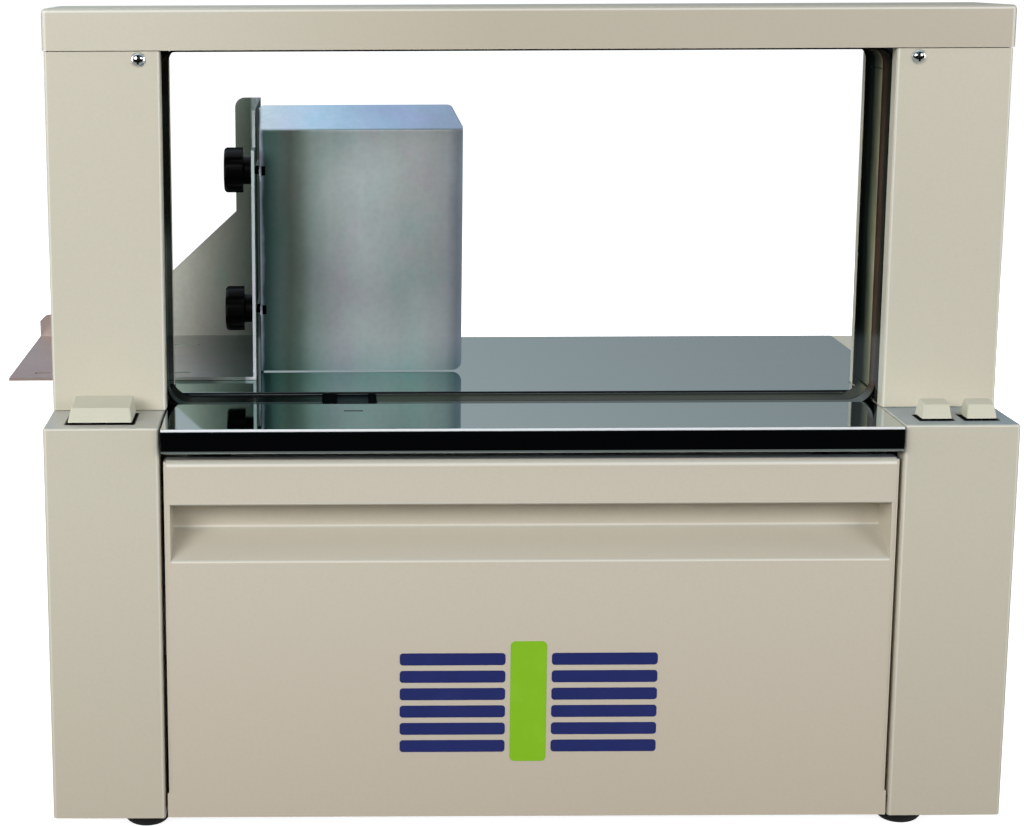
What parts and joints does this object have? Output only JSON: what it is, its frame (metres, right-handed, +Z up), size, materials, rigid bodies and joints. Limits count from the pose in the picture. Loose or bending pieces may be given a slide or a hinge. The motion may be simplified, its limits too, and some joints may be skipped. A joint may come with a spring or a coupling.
{
  "type": "tabletop banding machine",
  "caption": "Tabletop arch banding machine with a steel work table, tape slot, front door, sliding stop plate and push keys.",
  "frame": {"origin": "centre of the underside of the base pan, on the middle plane of the machine; the rubber feet reach 12 mm below it", "axes": "+X towards the operator's right, +Y away from the operator, +Z up"},
  "size_m": [0.622, 0.3386, 0.5],
  "materials": {
    "cream_paint": "fine textured powder coat",
    "door_paint": "fine textured powder coat",
    "mirror_steel": "mirror polished stainless sheet",
    "zinc_sheet": "bright zinc plated sheet",
    "gloss_black": "glossy black track",
    "satin_black": "satin black coated sheet",
    "black_rubber": "matte",
    "knob_plastic": "moulded, satin",
    "key_plastic": "moulded, satin",
    "bezel_plastic": "moulded, matte",
    "switch_plastic": "moulded, matte",
    "plated_steel": "zinc plated",
    "ground_steel": "ground and oiled",
    "galvanised_sheet": "galvanised",
    "motor_paint": "satin",
    "paper_tape": "matt paper roll",
    "reel_plastic": "moulded, satin",
    "roller_rubber": "matte",
    "aluminium": "milled",
    "circuit_board": "solder mask",
    "transformer_iron": "varnished laminations"
  },
  "bodies": {
    "base": {"base_pan": "galvanised_sheet", "rubber_feet": "black_rubber", "left_side_cover": "cream_paint", "right_side_cover": "cream_paint", "frame_plates": "galvanised_sheet", "cross_rails": "galvanised_sheet", "rear_cover": "cream_paint", "door_hinge_pins": "plated_steel", "door_catches": "switch_plastic", "front_table_plate": "mirror_steel", "rear_table_plate": "mirror_steel", "left_post_front_cover": "cream_paint", "right_post_front_cover": "cream_paint", "left_post_rear_cover": "cream_paint", "right_post_rear_cover": "cream_paint", "post_cover_screws": "plated_steel", "beam_cover": "cream_paint", "arch_front_liner": "gloss_black", "arch_rear_liner": "satin_black", "flap_hinge_pins": "ground_steel", "arch_frame": "galvanised_sheet", "key_bezels": "bezel_plastic", "key_switches": "switch_plastic", "head_frame": "ground_steel", "anvil_actuator": "motor_paint", "cam_motor": "motor_paint", "feed_frame": "galvanised_sheet", "feed_motor": "motor_paint", "reel_bracket": "galvanised_sheet", "reel_spindle": "ground_steel", "tension_bracket": "galvanised_sheet", "control_board": "circuit_board", "transformer": "transformer_iron", "power_inlet": "switch_plastic", "gauge_clamp_screws": "plated_steel"},
    "door": {"front_door": "door_paint"},
    "gauge": {"gauge_bracket": "zinc_sheet"},
    "stop": {"stop_plate": "zinc_sheet", "stop_studs": "plated_steel"},
    "upper_clamp_knob": {"upper_knob": "knob_plastic"},
    "lower_clamp_knob": {"lower_knob": "knob_plastic"},
    "start_button": {"start_key": "key_plastic"},
    "feed_button": {"feed_key": "key_plastic"},
    "mode_button": {"mode_key": "key_plastic"},
    "rocker": {"power_rocker": "bezel_plastic"},
    "reel": {"tape_roll": "paper_tape", "reel_hub": "reel_plastic", "reel_cap": "reel_plastic"},
    "dancer": {"tension_arm": "aluminium"},
    "dancer_roller": {"tension_roller": "ground_steel"},
    "drive_roller": {"feed_roller": "roller_rubber"},
    "idler_roller": {"pinch_roller": "ground_steel"},
    "cams": {"camshaft": "ground_steel"},
    "gripper": {"band_gripper": "ground_steel"},
    "cutter": {"band_cutter": "ground_steel"},
    "press": {"seal_press": "ground_steel"},
    "anvil": {"anvil_slide": "ground_steel"},
    "left_flap": {"left_track_flap": "satin_black"},
    "right_flap": {"right_track_flap": "satin_black"},
    "top_flap": {"top_track_flap": "satin_black"}
  },
  "joints": [
    {"name": "door_hinge", "type": "hinge", "parent": "base", "child": "door", "pos_m": [0, -0.159, 0.006], "axis": [1, 0, 0], "range_deg": [0, 85]},
    {"name": "gauge_slide", "type": "slide", "parent": "base", "child": "gauge", "axis": [1, 0, 0], "range_m": [-0.024, 0.07]},
    {"name": "stop_slide", "type": "slide", "parent": "gauge", "child": "stop", "axis": [0, 1, 0], "range_m": [-0.02, 0.11]},
    {"name": "upper_knob_turn", "type": "hinge", "parent": "stop", "child": "upper_clamp_knob", "pos_m": [-0.18, 0.032, 0.379], "axis": [1, 0, 0], "range_deg": [0, 360]},
    {"name": "lower_knob_turn", "type": "hinge", "parent": "stop", "child": "lower_clamp_knob", "pos_m": [-0.18, 0.032, 0.286], "axis": [1, 0, 0], "range_deg": [0, 360]},
    {"name": "start_key_press", "type": "slide", "parent": "base", "child": "start_button", "axis": [0, 0, -1], "range_m": [0, 0.003], "stiffness_N_per_m": 300, "springref_m": -0.001},
    {"name": "feed_key_press", "type": "slide", "parent": "base", "child": "feed_button", "axis": [0, 0, -1], "range_m": [0, 0.003], "stiffness_N_per_m": 300, "springref_m": -0.001},
    {"name": "mode_key_press", "type": "slide", "parent": "base", "child": "mode_button", "axis": [0, 0, -1], "range_m": [0, 0.003], "stiffness_N_per_m": 300, "springref_m": -0.001},
    {"name": "power_switch", "type": "hinge", "parent": "base", "child": "rocker", "pos_m": [-0.1605, 0.159, 0.052], "axis": [1, 0, 0], "range_deg": [-14, 0]},
    {"name": "reel_spin", "type": "hinge", "parent": "base", "child": "reel", "pos_m": [0.12, -0.072, 0.093], "axis": [0, 1, 0], "continuous": true},
    {"name": "dancer_swing", "type": "hinge", "parent": "base", "child": "dancer", "pos_m": [0.04, -0.052, 0.19], "axis": [0, 1, 0], "range_deg": [-20, 10]},
    {"name": "dancer_roller_spin", "type": "hinge", "parent": "dancer", "child": "dancer_roller", "pos_m": [0.1, -0.072, 0.19], "axis": [0, 1, 0], "continuous": true},
    {"name": "feed_roller_spin", "type": "hinge", "parent": "base", "child": "drive_roller", "pos_m": [-0.03, -0.072, 0.193], "axis": [0, 1, 0], "continuous": true},
    {"name": "pinch_roller_spin", "type": "hinge", "parent": "base", "child": "idler_roller", "pos_m": [-0.03, -0.072, 0.2173], "axis": [0, 1, 0], "continuous": true},
    {"name": "cam_turn", "type": "hinge", "parent": "base", "child": "cams", "pos_m": [-0.105, -0.072, 0.138], "axis": [1, 0, 0], "range_deg": [0, 150]},
    {"name": "gripper_lift", "type": "slide", "parent": "base", "child": "gripper", "axis": [0, 0, 1], "range_m": [0, 0.00501]},
    {"name": "cutter_lift", "type": "slide", "parent": "base", "child": "cutter", "axis": [0, 0, 1], "range_m": [0, 0.00501]},
    {"name": "press_lift", "type": "slide", "parent": "base", "child": "press", "axis": [0, 0, 1], "range_m": [0, 0.00501]},
    {"name": "anvil_retract", "type": "slide", "parent": "base", "child": "anvil", "axis": [0, 1, 0], "range_m": [0, 0.034]},
    {"name": "left_flap_open", "type": "hinge", "parent": "base", "child": "left_flap", "pos_m": [-0.2228, -0.0393, 0.355], "axis": [0, 0, 1], "range_deg": [0, 10]},
    {"name": "right_flap_open", "type": "hinge", "parent": "base", "child": "right_flap", "pos_m": [0.2228, -0.0393, 0.355], "axis": [0, 0, -1], "range_deg": [0, 10.01]},
    {"name": "top_flap_open", "type": "hinge", "parent": "base", "child": "top_flap", "pos_m": [0, -0.0393, 0.4638], "axis": [1, 0, 0], "range_deg": [0, 10.01]}
  ],
  "couplings": [
    {"joint": "pinch_roller_spin", "follows": "feed_roller_spin", "ratio": -1.6667},
    {"joint": "gripper_lift", "follows": "cam_turn", "m_per_rad": 0.0019099},
    {"joint": "cutter_lift", "follows": "cam_turn", "m_per_rad": 0.0019099},
    {"joint": "press_lift", "follows": "cam_turn", "m_per_rad": 0.0019099},
    {"joint": "right_flap_open", "follows": "left_flap_open", "ratio": 1},
    {"joint": "top_flap_open", "follows": "left_flap_open", "ratio": 1}
  ]
}
